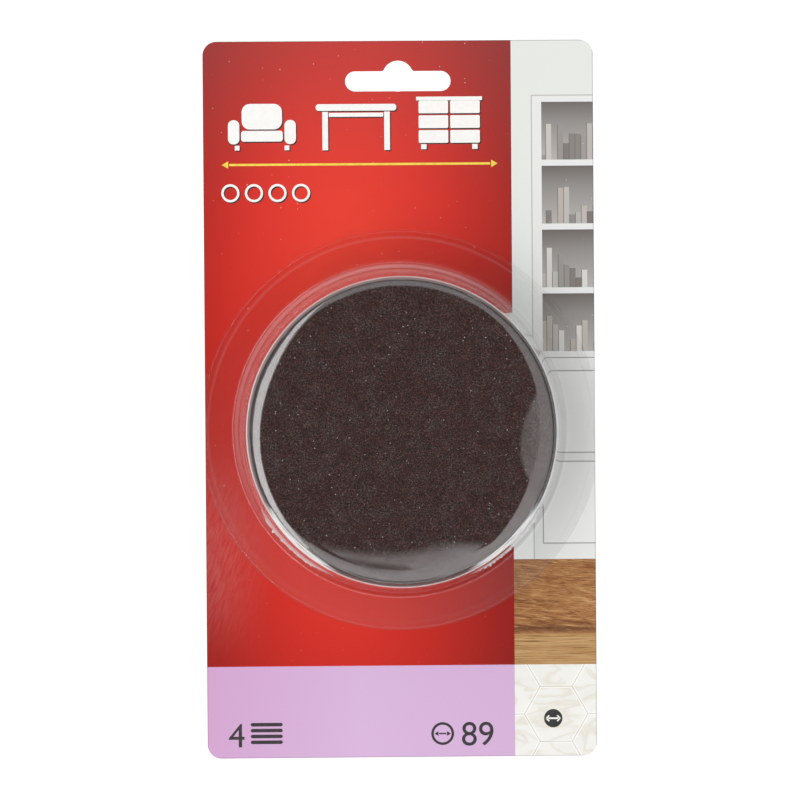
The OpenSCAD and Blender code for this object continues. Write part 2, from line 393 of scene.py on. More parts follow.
    peel = put("TexNoise", {"Vector": in_mm, "Scale": 0.9, "Detail": 3.0})
    bump = put("Bump", {"Height": peel, "Strength": 0.12, "Distance": 0.02 * MM})
    gloss = put("MapRange", {"Value": printed, "To Min": 0.75, "To Max": 0.11})
    shader = put("BsdfPrincipled", {"Base Color": colour, "Roughness": gloss, "Normal": bump})
    put("OutputMaterial", {"Surface": shader})
    return made


def clear_pet():
    """Vacuum formed clear PET: two mirror faces, clear seen square on and bright at grazing angles, with a
    haze that carries painted highlights and a painted refraction.
    """
    made, put = new_material("formed_clear_pet")
    place = put("TexCoord").outputs["Object"]
    centred = put("Mapping", {"Vector": place, "Location": [-c / MM for c in pocket], "Scale": (1 / MM,) * 3})
    axes = put("SeparateXYZ", {"Vector": centred})
    height = axes.outputs["Z"]
    flat = put("VectorMath", {0: centred, 1: (1, 1, 0)}, operation="MULTIPLY")
    r = put("VectorMath", {0: flat}, operation="LENGTH").outputs["Value"]
    outward = put("VectorMath", {0: flat}, operation="NORMALIZE")

    # The two lower corners of the pocket, where painted highlights whiten the film
    turn = put("Math", {0: axes.outputs["Y"], 1: axes.outputs["X"]}, operation="ARCTAN2")
    arc_length = put("Math", {0: turn, 1: FOOT_R}, operation="MULTIPLY")
    along = put("CombineXYZ", {"X": arc_length, "Y": r})
    sides = [put("VectorMath", {0: outward, 1: (math.cos(math.radians(a)), math.sin(math.radians(a)), 0)},
                 operation="DOT_PRODUCT").outputs["Value"] for a in HIGHLIT_CORNERS]
    corner = put("Math", {0: sides[0], 1: sides[1]}, operation="MAXIMUM")
    corner = put("MapRange", {"Value": corner, "From Min": 0.94, "From Max": 0.985},
                 interpolation_type="SMOOTHSTEP")
    # Wrinkles 0.8 mm apart that run out from the foot of the wall there and end in teeth: a bump, and the
    # toothed edge of a painted highlight along the foot
    wrinkle_at = put("Mapping", {"Vector": along, "Scale": (1 / 0.8, 1 / 3, 1)})
    wrinkle = put("TexNoise", {"Vector": wrinkle_at, "Scale": 1.0, "Detail": 2.0, "Distortion": 0.4})
    teeth = put("Math", {0: wrinkle, 1: 2.4, 2: corner}, operation="MULTIPLY_ADD")
    teeth = put("Math", {0: teeth, 1: TEETH_R}, operation="ADD")
    foot = put("Math", {0: r, 1: teeth}, operation="LESS_THAN")
    low = put("MapRange", {"Value": height, "From Min": 18.0, "From Max": 12.0})
    foot = put("Math", {0: foot, 1: low}, operation="MULTIPLY")
    painted_foot_highlight = put("MapRange", {"Value": r, "From Min": FOOT_R - 0.1, "From Max": FOOT_R + 0.1,
                                 "To Min": 0.07, "To Max": 0.9})
    painted_foot_highlight = put("Math", {0: painted_foot_highlight, 1: foot}, operation="MULTIPLY")
    painted_foot_highlight = put("Math", {0: painted_foot_highlight, 1: corner}, operation="MULTIPLY")
    # A painted highlight round the shoulder there, in lines 0.25 mm apart
    raised = put("Math", {0: height, 1: FRONT_Z}, operation="GREATER_THAN")
    highlight_streak_at = put("Mapping", {"Vector": along, "Scale": (1 / 8, 1 / 0.25, 1)})
    painted_shoulder_highlight = put("TexNoise", {"Vector": highlight_streak_at, "Scale": 1.0, "Detail": 2.0})
    painted_shoulder_highlight = put("Math", {0: corner, 1: 0.3, 2: painted_shoulder_highlight}, operation="MULTIPLY_ADD")
    painted_shoulder_highlight = put("MapRange", {"Value": painted_shoulder_highlight, "From Min": 0.64, "From Max": 0.88, "To Max": 2.0})
    on_shoulder = put("Math", {0: r, 1: BEND_R, 2: 0.7}, operation="COMPARE")
    painted_shoulder_highlight = put("Math", {0: painted_shoulder_highlight, 1: on_shoulder}, operation="MULTIPLY")
    painted_shoulder_highlight = put("Math", {0: painted_shoulder_highlight, 1: raised}, operation="MULTIPLY")
    painted_corner_highlight = put("Math", {0: painted_shoulder_highlight, 1: painted_foot_highlight}, operation="MAXIMUM")
    # A painted highlight: a white line right round the tight bend
    painted_bend_highlight = put("Math", {0: r, 1: WHITE_LINE_R, 2: 0.16}, operation="COMPARE")
    painted_bend_highlight = put("Math", {0: painted_bend_highlight, 1: raised}, operation="MULTIPLY")
    painted_bend_highlight = put("Math", {0: painted_bend_highlight, 1: 0.28}, operation="MULTIPLY")
    # Inside that line a painted refraction: the bend carries the dark of the stack's edge outwards, paler at
    # the upper left
    turning = put("Math", {0: r, 1: BEND_R, 2: 0.35}, operation="COMPARE")
    turning = put("Math", {0: turning, 1: raised}, operation="MULTIPLY")
    turning = put("Math", {0: turning, 1: corner}, operation="SUBTRACT", use_clamp=True)
    lean = put("VectorMath", {0: outward, 1: (0.7, -0.7, 0)}, operation="DOT_PRODUCT").outputs["Value"]
    darker = put("MapRange", {"Value": lean, "From Min": -0.6, "From Max": 0.3})
    painted_refraction_colour = put("Mix", {0: darker, 6: "#857d7b", 7: "#5c5654"}, data_type="RGBA")
    painted_refraction = put("Math", {0: turning, 1: 1.2}, operation="MULTIPLY")
    # The seal is a little cloudy, most at the bottom of the card
    banded = put("MapRange", {"Value": r, "From Min": SEAL_R, "From Max": SEAL_R + 1.5})
    below = put("SeparateXYZ", {"Vector": outward}).outputs["Y"]
    cloudy = put("MapRange", {"Value": below, "From Min": 0.8, "From Max": -1.0, "To Max": 0.016})
    cloudy = put("Math", {0: cloudy, 1: banded}, operation="MULTIPLY")
    # A faint painted highlight: a pale line along the step up to the lip
    step = put("Math", {0: r, 1: STEP_R, 2: 0.4}, operation="COMPARE")
    step = put("Math", {0: step, 1: 0.022}, operation="MULTIPLY")
    haze_and_painted_light = painted_corner_highlight
    for mark in (painted_bend_highlight, painted_refraction, cloudy, step):
        haze_and_painted_light = put("Math", {0: haze_and_painted_light, 1: mark}, operation="MAXIMUM")

    creased = put("Math", {0: wrinkle, 1: corner}, operation="MULTIPLY")
    creased = put("Math", {0: creased, 1: foot}, operation="MULTIPLY")
    # Slow waves 7 mm across that the sheet kept from forming
    wave = put("TexNoise", {"Vector": centred, "Scale": 1 / 7, "Detail": 2.0})
    height_map = put("Math", {0: wave, 1: 0.2, 2: creased}, operation="MULTIPLY_ADD")
    bump = put("Bump", {"Height": height_map, "Strength": 0.5, "Distance": 0.25 * MM})

    face = put("LayerWeight", {"Blend": 0.5}).outputs["Facing"]
    graze = put("Math", {0: face, 1: 5.0}, operation="POWER")
    mirror = put("Math", {0: graze, 1: 0.951, 2: 0.049}, operation="MULTIPLY_ADD")
    # The flange is sealed to the print, so that only one of its faces shows
    sealed = put("MapRange", {"Value": r, "From Min": SEAL_R + 0.1, "From Max": SEAL_R + 0.7,
                              "To Min": 1.0, "To Max": 0.25})
    mirror = put("Math", {0: mirror, 1: sealed}, operation="MULTIPLY")
    clear = put("BsdfTransparent", {"Color": "#fdfdfd"})
    glossy = put("BsdfPrincipled", {"Base Color": "#ffffff", "Metallic": 1.0, "Roughness": 0.04,
                                    "Normal": bump})
    film = put("MixShader", {0: mirror, 1: clear, 2: glossy})

    # Haze, and the painted highlights and painted refraction drawn with it, show more where the eye passes
    # through more of the film
    square_on = put("Math", {0: 1.0, 1: face}, operation="SUBTRACT")
    depth = put("Math", {0: haze_and_painted_light, 1: square_on}, operation="ADD")
    haze_and_painted_light_share = put("Math", {0: haze_and_painted_light, 1: depth}, operation="DIVIDE")
    haze_and_painted_light_colour = put("Mix", {0: turning, 6: "#f2f2f2", 7: painted_refraction_colour}, data_type="RGBA")
    haze = put("BsdfPrincipled", {"Base Color": haze_and_painted_light_colour, "Roughness": 0.5})
    mixed = put("MixShader", {0: haze_and_painted_light_share, 1: film, 2: haze})
    put("OutputMaterial", {"Surface": mixed})
    return made


def cut_film_edge():
    """The sheared edge of the film: faintly milky, with short shear marks."""
    made, put = new_material("sheared_pet_edge")
    place = put("TexCoord").outputs["Object"]
    mark = put("TexNoise", {"Vector": place, "Scale": 1 / (1.5 * MM), "Detail": 3.0})
    milky = put("MapRange", {"Value": mark, "From Min": 0.4, "From Max": 0.65, "To Min": 0.0, "To Max": 0.03})
    clear = put("BsdfTransparent", {"Color": "#f6f3f3"})
    haze = put("BsdfPrincipled", {"Base Color": "#e6e6e6", "Roughness": 0.5})
    mixed = put("MixShader", {0: milky, 1: clear, 2: haze})
    put("OutputMaterial", {"Surface": mixed})
    return made


def needled_felt():
    """Dark brown needle felt: matt, a tangle of dark and reddish tufts in slow patches, a faint sheen."""
    made, put = new_material("brown_needle_felt")
    place = put("TexCoord").outputs["Object"]
    # Tufts 0.32 mm across of two colours, in patches 5 mm across that are lighter or redder than the next
    tangle = put("TexNoise", {"Vector": place, "Scale": 1 / (0.32 * MM), "Detail": 2.0, "Roughness": 0.6,
                              "Distortion": 1.2})
    patch = put("TexNoise", {"Vector": place, "Scale": 1 / (5 * MM), "Detail": 3.0})
    hue = put("TexNoise", {"Vector": place, "Scale": 1 / (0.7 * MM), "Detail": 2.0, "Distortion": 1.0})
    hue = put("Math", {0: patch, 1: -0.5, 2: hue}, operation="MULTIPLY_ADD")
    # Darker where the tangle lies lower: painted shade between the tufts, over their own two colours
    depth = put("Math", {0: patch, 1: 0.1, 2: tangle}, operation="MULTIPLY_ADD")
    grey = put("ValToRGB", {"Fac": depth}, stops=[
        (0.42, "#140f0f"), (0.76, "#887772"), (0.5, "#271d1d"), (0.56, "#392c2b"), (0.64, "#524341")])
    rust = put("ValToRGB", {"Fac": depth}, stops=[
        (0.42, "#180e0e"), (0.76, "#7d4842"), (0.5, "#2b1b1a"), (0.56, "#412a28"), (0.64, "#593834")])
    reddish = put("MapRange", {"Value": hue, "From Min": 0.18, "From Max": 0.34})
    colour = put("Mix", {0: reddish, 6: grey, 7: rust}, data_type="RGBA")
    bump = put("Bump", {"Height": tangle, "Strength": 0.6, "Distance": 0.2 * MM})
    shader = put("BsdfPrincipled", {
        "Base Color": colour, "Roughness": 0.95, "Specular IOR Level": 0.2, "Sheen Weight": 0.08,
        "Sheen Roughness": 0.5, "Sheen Tint": "#a08a80", "Normal": bump})
    put("OutputMaterial", {"Surface": shader})
    return made


def felt_fibre(name, dark, light):
    """Loose polyester staple fibre: a thin strand whose tone changes along its length."""
    made, put = new_material(name)
    place = put("TexCoord").outputs["Object"]
    tone = put("TexNoise", {"Vector": place, "Scale": 1 / (1.5 * MM), "Detail": 1.0})
    colour = put("ValToRGB", {"Fac": tone}, stops=[(0.35, dark), (0.65, light)])
    shader = put("BsdfPrincipled", {"Base Color": colour, "Roughness": 0.6})
    put("OutputMaterial", {"Surface": shader})
    return made


def moulded_polypropylene():
    """Injection moulded dark brown polypropylene: satin, with fine spark-eroded texture."""
    made, put = new_material("moulded_brown_polypropylene")
    place = put("TexCoord").outputs["Object"]
    grit = put("TexNoise", {"Vector": place, "Scale": 1 / (0.35 * MM), "Detail": 3.0})
    flow = put("TexNoise", {"Vector": place, "Scale": 1 / (14 * MM), "Detail": 2.0})
    colour = put("ValToRGB", {"Fac": flow}, stops=[(0.3, "#35271f"), (0.7, "#41312a")])
    rough = put("MapRange", {"Value": grit, "To Min": 0.38, "To Max": 0.55})
    bump = put("Bump", {"Height": grit, "Strength": 0.25, "Distance": 0.03 * MM})
    shader = put("BsdfPrincipled", {"Base Color": colour, "Roughness": rough, "Normal": bump, "IOR": 1.49})
    put("OutputMaterial", {"Surface": shader})
    return made


def acrylic_adhesive():
    """Acrylic transfer adhesive: an amber film with small trapped bubbles."""
    made, put = new_material("acrylic_adhesive_film")
    place = put("TexCoord").outputs["Object"]
    bubble = put("TexVoronoi", {"Vector": place, "Scale": 1 / (1.6 * MM)})
    colour = put("ValToRGB", {"Fac": bubble.outputs["Distance"]}, stops=[
        (0.08, "#cdb78c"), (0.6, "#ab8c59"), (0.2, "#b49663")])
    bump = put("Bump", {"Height": bubble.outputs["Distance"], "Strength": 0.3, "Distance": 0.05 * MM})
    shader = put("BsdfPrincipled", {"Base Color": colour, "Roughness": 0.35, "Normal": bump, "IOR": 1.47})
    put("OutputMaterial", {"Surface": shader})
    return made


def eva_foam():
    """Closed-cell EVA foam: matt charcoal with fine open pores on its cut face."""
    made, put = new_material("charcoal_eva_foam")
    place = put("TexCoord").outputs["Object"]
    pore = put("TexVoronoi", {"Vector": place, "Scale": 1 / (0.6 * MM)})
    cloud = put("TexNoise", {"Vector": place, "Scale": 1 / (5 * MM), "Detail": 3.0})
    # Darker in the pores: painted shade, over a slow random tone
    shade = put("Math", {0: pore.outputs["Distance"], 1: 0.6, 2: cloud}, operation="MULTIPLY_ADD")
    colour = put("ValToRGB", {"Fac": shade}, stops=[(0.35, "#1d1917"), (1.0, "#3a3431"), (0.6, "#2a2523")])
    bump = put("Bump", {"Height": pore.outputs["Distance"], "Strength": 0.5, "Distance": 0.15 * MM})
    shader = put("BsdfPrincipled", {"Base Color": colour, "Roughness": 0.85, "Normal": bump,
                                    "Specular IOR Level": 0.3})
    put("OutputMaterial", {"Surface": shader})
    return made


def printing_ink(name, colour, worn):
    """Offset ink under the same varnish as the card: flat colour with a faint mottle."""
    made, put = new_material(name)
    place = put("TexCoord").outputs["Object"]
    mottle = put("TexNoise", {"Vector": place, "Scale": 1 / (1.2 * MM), "Detail": 4.0})
    tone = put("ValToRGB", {"Fac": mottle}, stops=[(0.3, worn), (0.6, colour)])
    shader = put("BsdfPrincipled", {"Base Color": tone, "Roughness": 0.22})
    put("OutputMaterial", {"Surface": shader})
    return made


def finish_mesh(bm, name, materials, smooth_angle=None):
    """Makes a bmesh an object at the origin."""
    mesh = bpy.data.meshes.new(name)
    bm.to_mesh(mesh)
    bm.free()
    if smooth_angle:
        mesh.shade_smooth()
        mesh.set_sharp_from_angle(angle=smooth_angle)
    for made in materials:
        mesh.materials.append(made)
    piece = bpy.data.objects.new(name, mesh)
    bpy.context.scene.collection.objects.link(piece)
    return piece


def arc(mid, r, start, stop, steps):
    """Points of an arc in the section plane, from one angle in degrees to another."""
    angles = [math.radians(start + (stop - start) * i / steps) for i in range(steps + 1)]
    return [Vector((mid[0] + r * math.cos(a), 0, mid[1] + r * math.sin(a))) for a in angles]


def turned(section, steps):
    """A section turned once round the Z axis, with its poles and seam merged."""
    bm = bmesh.new()
    verts = [bm.verts.new(point) for point in section]
    edges = [bm.edges.new(pair) for pair in zip(verts, verts[1:])]
    bmesh.ops.spin(bm, geom=verts + edges, axis=(0, 0, 1), cent=(0, 0, 0), angle=math.tau, steps=steps,
                   use_merge=True)
    bmesh.ops.remove_doubles(bm, verts=bm.verts, dist=0.001 * MM)
    return bm


def rings(start, stop, spacing):
    """Radii from one to another, evenly spaced, without the last."""
    count = max(1, round(abs(stop - start) / spacing))
    return [start + (stop - start) * i / count for i in range(count)]


def sag_of(r, turn):
    """How far the formed film hangs at a radius of the pocket's front."""
    total = 0.0
    for side, clockwise, anticlockwise, start, end, drop, taper, ease in SAGS:
        off = math.degrees(math.remainder(turn - math.radians(side), math.tau))
        narrow = min(1.0, abs(off) / (anticlockwise if off > 0 else clockwise)) ** taper
        along = min(1.0, (r / MM - start) / (end - start)) - narrow
        if along > 0:
            at_edge = along * along / (2 * ease) if along < ease else along - ease / 2
            total += drop * (SAG_STEP * at_edge + (1 - SAG_STEP) * along * along / 2)
    return total * MM


def eased(corner, before, after, reach, steps=4):
    """A corner of a section, rounded between its neighbours."""
    start = corner + (before - corner).normalized() * reach
    end = corner + (after - corner).normalized() * reach
    shares = [i / steps for i in range(steps + 1)]
    return [start.lerp(corner, t).lerp(corner.lerp(end, t), t) for t in shares]


def formed_blister(film, cut_edge):
    """One sheet of film: front, shoulder, wall, base bevel, sealed band, step and lip."""
    front = film_high.z
    seal_top = card_face + FILM_T
    film_r = (film_high.y - film_low.y) / 2
    wall_out = Vector((math.cos(WALL_DRAFT), 0, math.sin(WALL_DRAFT)))
    wall_down = Vector((math.sin(WALL_DRAFT), 0, -math.cos(WALL_DRAFT)))
    shoulder_mid = Vector((slider_r - SHOULDER_INSET, 0, front - SHOULDER_R))
    wall_start = shoulder_mid + SHOULDER_R * wall_out
    fall = (wall_start.z - seal_top - BASE_BEVEL_H) / -wall_down.z
    wall_end = wall_start + fall * wall_down
    bevel_end = Vector((wall_end.x + BASE_BEVEL_W, 0, seal_top))
    lip_inner = film_r - LIP_W
    step_foot = Vector((lip_inner - STEP_W, 0, seal_top))
    step_head = Vector((lip_inner, 0, seal_top + LIP_RISE))
    lip_end = Vector((film_r, 0, seal_top + LIP_RISE))
    section = [Vector((r, 0, front)) for r in rings(0, SAG_FROM_R, 4 * MM)]
    section += [Vector((r, 0, front)) for r in rings(SAG_FROM_R, shoulder_mid.x, SAG_RING)]
    section += arc((shoulder_mid.x, shoulder_mid.z), SHOULDER_R, 90, math.degrees(WALL_DRAFT), 16)
    section += [wall_start.lerp(wall_end, share / 8) for share in range(1, 8)]
    section += eased(wall_end, wall_start, bevel_end, CORNER_EASE)
    section += eased(bevel_end, wall_end, step_foot, CORNER_EASE)
    section += [bevel_end.lerp(step_foot, share / 5) for share in range(1, 5)]
    section += eased(step_foot, bevel_end, step_head, STEP_W / 2)
    section += eased(step_head, step_foot, lip_end, STEP_W / 2)
    section += [lip_end]
    bm = turned(section, FILM_TURN_STEPS)
    for vert in bm.verts:
        up = max(0.0, (vert.co.z - wall_end.z) / (front - wall_end.z))
        vert.co.z -= up * sag_of(math.hypot(vert.co.x, vert.co.y), math.atan2(vert.co.y, vert.co.x))
    bmesh.ops.translate(bm, verts=bm.verts, vec=pocket)
    for side in (-1, 1):
        everything = bm.verts[:] + bm.edges[:] + bm.faces[:]
        bmesh.ops.bisect_plane(bm, geom=everything, plane_co=(side * film_high.x, 0, 0),
                               plane_no=(side, 0, 0), clear_outer=True)
    bmesh.ops.recalc_face_normals(bm, faces=bm.faces)
    if sum(face.normal.z for face in bm.faces) < 0:
        bmesh.ops.reverse_faces(bm, faces=bm.faces)
    piece = finish_mesh(bm, "formed_blister_film", [film, cut_edge], math.radians(50))
    wall = piece.modifiers.new("film_thickness", "SOLIDIFY")
    wall.thickness = FILM_T - SEAL_LIFT
    wall.offset = -1
    wall.use_even_offset = True
    wall.material_offset_rim = 1
    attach(piece, "blister")
    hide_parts("blister")


def felt_sole(n, felt):
    """A die-cut disc of felt with a rolled running edge and a slightly uneven face."""
    low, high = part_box(f"slider_{n}_felt_sole")
    felt_r = high.x
    mid = (felt_r - FELT_EDGE_R, high.z - FELT_EDGE_R)
    section = [Vector((r, 0, low.z)) for r in rings(0, felt_r, 6 * MM)]
    section += [Vector((felt_r, 0, low.z))]
    section += arc(mid, FELT_EDGE_R, 0, 90, 8)
    section += [Vector((r, 0, high.z)) for r in rings(mid[0] - FELT_RING, 0, FELT_RING)]
    section += [Vector((0, 0, high.z))]
    bm = turned(section, FELT_TURN_STEPS)
    bmesh.ops.recalc_face_normals(bm, faces=bm.faces)
    bm.normal_update()
    for vert in bm.verts:
        if vert.co.z > low.z + FELT_RELIEF:
            rough = noise.noise(vert.co / (1.6 * MM)) + noise.noise(vert.co / (5 * MM) + Vector((n, 0, 0)))
            vert.co -= vert.normal * FELT_RELIEF * (1 + rough) / 2
    bmesh.ops.translate(bm, verts=bm.verts, vec=pocket)
    piece = finish_mesh(bm, f"slider_{n}_needle_felt", [felt], math.radians(60))
    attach(piece, f"slider_{n}")
    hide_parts(f"slider_{n}_felt_sole")


def loose_fibres(n, fibres):
    """Short strands that lie on the felt's face, most of them reddish, a few pale, and specks of lint."""
    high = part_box(f"slider_{n}_felt_sole")[1]
    chance = random.Random(n)
    curve = bpy.data.curves.new(f"slider_{n}_strands", "CURVE")
    curve.dimensions = "3D"
    curve.bevel_depth = FIBRE_R
    curve.bevel_resolution = 0
    curve.use_fill_caps = True
    for made in fibres:
        curve.materials.append(made)
    for _ in range(FIBRE_COUNT):
        r = (high.x - 1.2 * FELT_EDGE_R) * math.sqrt(chance.random())
        turn = chance.uniform(0, math.tau)
        at = pocket + Vector((r * math.cos(turn), r * math.sin(turn), high.z - 0.5 * FELT_RELIEF))
        heading = chance.uniform(0, math.tau)
        curl = chance.uniform(-1.2, 1.2)
        kind = chance.choices(range(len(fibres)), FIBRE_SHARES)[0]
        thicker = chance.uniform(*LINT_THICKER)
        length = (LINT_LENGTH if kind == LINT else chance.uniform(*STRAND_LENGTH)) * MM
        lift = chance.uniform(0.02, 0.1) * MM
        strand = curve.splines.new("POLY")
        strand.points.add(3)
        for i, point in enumerate(strand.points):
            share = i / 3
            step = length * (share - 0.5)
            way = heading + curl * share
            rise = lift * math.sin(math.pi * share)
            point.co = (at.x + step * math.cos(way), at.y + step * math.sin(way), at.z + rise, 1)
            point.radius = thicker if kind == LINT else 1.0
        strand.material_index = kind
    shape = bpy.data.objects.new(curve.name, curve)
    mesh = bpy.data.meshes.new_from_object(shape)
    bpy.data.objects.remove(shape)
    bm = bmesh.new()
    bm.from_mesh(mesh)
    piece = finish_mesh(bm, f"slider_{n}_loose_fibres", fibres)
    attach(piece, f"slider_{n}")


def grip_pad(n, foam):
    """A die-cut foam disc with ring grooves pressed into its lower face."""
    low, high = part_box(f"slider_{n}_grip_pad")
    pad_r = high.x
    section = [Vector((0, 0, low.z))]
    groove = GROOVE_PITCH
    while groove + GROOVE_W < pad_r:
        inner, outer = groove - GROOVE_W / 2, groove + GROOVE_W / 2
        floor = low.z + GROOVE_DEPTH
        ease = GROOVE_DEPTH / 3
        section += [Vector((inner - ease, 0, low.z)), Vector((inner, 0, low.z + ease))]
        section += [Vector((inner, 0, floor)), Vector((outer, 0, floor))]
        section += [Vector((outer, 0, low.z + ease)), Vector((outer + ease, 0, low.z))]
        groove += GROOVE_PITCH
    section += arc((pad_r - PAD_EDGE_R, low.z + PAD_EDGE_R), PAD_EDGE_R, 270, 360, 6)
    section += [Vector((pad_r, 0, high.z)), Vector((0, 0, high.z))]
    bm = turned(section, PAD_TURN_STEPS)
    bmesh.ops.recalc_face_normals(bm, faces=bm.faces)
    bmesh.ops.translate(bm, verts=bm.verts, vec=pocket)
    piece = finish_mesh(bm, f"slider_{n}_foam_grip", [foam], math.radians(40))
    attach(piece, f"slider_{n}")
    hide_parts(f"slider_{n}_grip_pad")


def bar(bm, x, y, w, h, corner=0.0, turn=0.0):
    """A flat bar of ink about a centre, in millimetres."""
    place = Matrix.Translation((x * MM, y * MM, 0)) @ Matrix.Rotation(turn, 4, "Z")
    place = place @ Matrix.Diagonal((w * MM, h * MM, 1, 1))
    made = bmesh.ops.create_grid(bm, x_segments=1, y_segments=1, size=0.5, matrix=place)
    if corner:
        bmesh.ops.bevel(bm, geom=made["verts"], offset=corner * MM, affect="VERTICES", segments=5,
                        profile=0.5, material=-1)


def disc(bm, x, y, r, corners=40, turn=0.0):
    """A flat disc or regular polygon of ink, in millimetres."""
    place = Matrix.Translation((x * MM, y * MM, 0)) @ Matrix.Rotation(turn - math.pi / 2, 4, "Z")
    bmesh.ops.create_circle(bm, cap_ends=True, radius=r * MM, segments=corners, matrix=place)


def ring(bm, x, y, r, w):
    """A flat ring of ink, in millimetres."""
    edges = []
    for radius in (r, r - w):
        place = Matrix.Translation((x * MM, y * MM, 0))
        made = bmesh.ops.create_circle(bm, radius=radius * MM, segments=40, matrix=place)
        edges += list({edge for vert in made["verts"] for edge in vert.link_edges})
    bmesh.ops.bridge_loops(bm, edges=edges)


def arrow(bm, x, y, length, head):
    """A double-headed arrow of ink along X, in millimetres."""
    bar(bm, x, y, length - 2 * head, head * 0.3)
    r = head * ARROWHEAD_SHARE
    for side in (-1, 1):
        disc(bm, x + side * (length / 2 - r), y, r, 3, 0 if side > 0 else math.pi)


def numeral(bm, text, x, y, height):
    """Numbers of ink from their lower left corner, in millimetres."""
    curve = bpy.data.curves.new("numerals", "FONT")
    curve.body = text
    curve.size = height * MM / NUMERAL_SHARE
    shape = bpy.data.objects.new(curve.name, curve)
    bpy.context.scene.collection.objects.link(shape)
    mesh = bpy.data.meshes.new_from_object(shape.evaluated_get(bpy.context.evaluated_depsgraph_get()))
    bpy.data.objects.remove(shape)
    mesh.transform(Matrix.Translation((x * MM, y * MM, 0)))
    bm.from_mesh(mesh)


def print_ink(bm, name, ink, level=0):
    """Gives flat shapes the thickness of an ink layer on the card's face."""
    grown = bmesh.ops.extrude_face_region(bm, geom=bm.faces[:])
    tops = [item for item in grown["geom"] if isinstance(item, bmesh.types.BMVert)]
    bmesh.ops.translate(bm, verts=tops, vec=(0, 0, INK_T))
    bmesh.ops.translate(bm, verts=bm.verts, vec=(0, 0, card_face + level * INK_T))
    bmesh.ops.recalc_face_normals(bm, faces=bm.faces)
    piece = finish_mesh(bm, name, [ink])
    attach(piece, "card")


def furniture_signs(ink, name, shift=0.0, level=0):
    """Armchair, table and chest of drawers in plain shapes, and a row of four rings."""
    bm = bmesh.new()
    base = 74.3
    chair = -40.5
    bar(bm, chair, base + 10.0, 12, 7.6, 2.4)
    bar(bm, chair, base + 4.2, 12.4, 3.2, 0.8)
    for side in (-1, 1):
        bar(bm, chair + side * 8.4, base + 5.4, 3.4, 7.2, 1.6)
        bar(bm, chair + side * 7.4, base + 0.7, 1.4, 1.4)
    table = -12.5
    bar(bm, table, base + 12.6, 24, 2.0, 0.9)
    bar(bm, table, base + 10.4, 16.2, 1.2)
    for side in (-1, 1):
        bar(bm, table + side * 9.2, base + 5.6, 1.7, 11.4)
    chest = 15.2
    for row in range(3):
        for side in (-1, 1):
            bar(bm, chest + side * 4.7, base + 3.8 + row * 4.4, 8.8, 3.8, 0.4)
    bar(bm, chest, base + 15.1, 19.6, 1.1)
    for side in (-1, 1):
        bar(bm, chest + side * 7.6, base + 0.8, 1.6, 1.5)
    for i in SLIDERS:
        ring(bm, -50.0 + (i - 1) * 7.0, 61.6, 2.7, 0.7)
    bmesh.ops.translate(bm, verts=bm.verts, vec=(shift * MM, -shift * MM, 0))
    print_ink(bm, name, ink, level)


def band_signs(grey):
    """How many and how wide: a four with a stack sign, and a ring with its width."""
    bm = bmesh.new()
    numeral(bm, "4", -51.8, -103.3, 7.0)
    for i in SLIDERS:
        bar(bm, -40.4, -103.6 + i * 1.75, 9.5, 1.05, 0.5)
    ring(bm, 12.0, -99.7, 3.4, 0.75)
    arrow(bm, 12.0, -99.7, 5.0, 1.4)
    numeral(bm, "89", 17.4, -103.3, 7.0)
    print_ink(bm, "print_band_signs", grey)


def card_print(white, yellow, grey, black):
    """The signs on the card, each colour of ink a layer of its own."""
    sign_x, sign_y = FLOOR_SIGN
    furniture_signs(black, "print_sign_shadows", shift=0.35)
    furniture_signs(white, "print_furniture_signs", level=1)
    band_signs(grey)
    bm = bmesh.new()
    arrow(bm, -11.5, 70.0, 82.0, 2.2)
    print_ink(bm, "print_slide_arrow", yellow)
    bm = bmesh.new()
    disc(bm, sign_x, sign_y, 2.74)
    print_ink(bm, "print_floor_sign", black)
    bm = bmesh.new()
    bar(bm, sign_x, sign_y, 2.9, 0.5)
    for side in (-1, 1):
        for way in (-1, 1):
            tip = sign_x + side * 1.62
            bar(bm, tip, sign_y + way * 0.42, 1.2, 0.42, turn=-side * way * math.pi / 4)
    print_ink(bm, "print_floor_arrow", white, level=1)


def studio_floor():
    """A white sheet under the pack that keeps its shadow."""
    bm = bmesh.new()
    bmesh.ops.create_grid(bm, x_segments=1, y_segments=1, size=FLOOR_REACH)
    bmesh.ops.translate(bm, verts=bm.verts, vec=(0, 0, -FLOOR_DROP))
    made, put = new_material("white_paper_sweep")
    path = put("LightPath").outputs
    seen = put("Math", {0: path["Is Camera Ray"], 1: path["Is Glossy Ray"]}, operation="MAXIMUM")
    seen = put("Math", {0: seen, 1: path["Is Transmission Ray"]}, operation="MAXIMUM")
    glow = put("Math", {0: seen, 1: 0.5}, operation="MULTIPLY")
    shader = put("BsdfPrincipled", {
        "Base Color": "#d2d2d2", "Roughness": 0.9, "Specular IOR Level": 0.0, "Emission Color": "#ffffff",
        "Emission Strength": glow})
    put("OutputMaterial", {"Surface": shader})
    finish_mesh(bm, "studio_floor", [made])


def softbox(name, azimuth, near, far, width, brightness):
    """A rectangular lamp one metre off that faces the pocket, between two angles from straight overhead.

    Its brightness is what its surface shows in a mirror."""
    lamp = bpy.data.lights.new(name, "AREA")
    lamp.shape = "RECTANGLE"
    lamp.size = width
    lamp.size_y = 2 * math.tan(math.radians(far - near) / 2)
    lamp.energy = brightness * math.pi * lamp.size * lamp.size_y
    way = Vector((0, 0, 1))
    way.rotate(Euler((0, math.radians((near + far) / 2), math.radians(azimuth))))
    made = bpy.data.objects.new(name, lamp)
    made.location = pocket + way
    made.rotation_euler = way.to_track_quat("Z", "Y").to_euler()
    made.visible_camera = False
    bpy.context.scene.collection.objects.link(made)


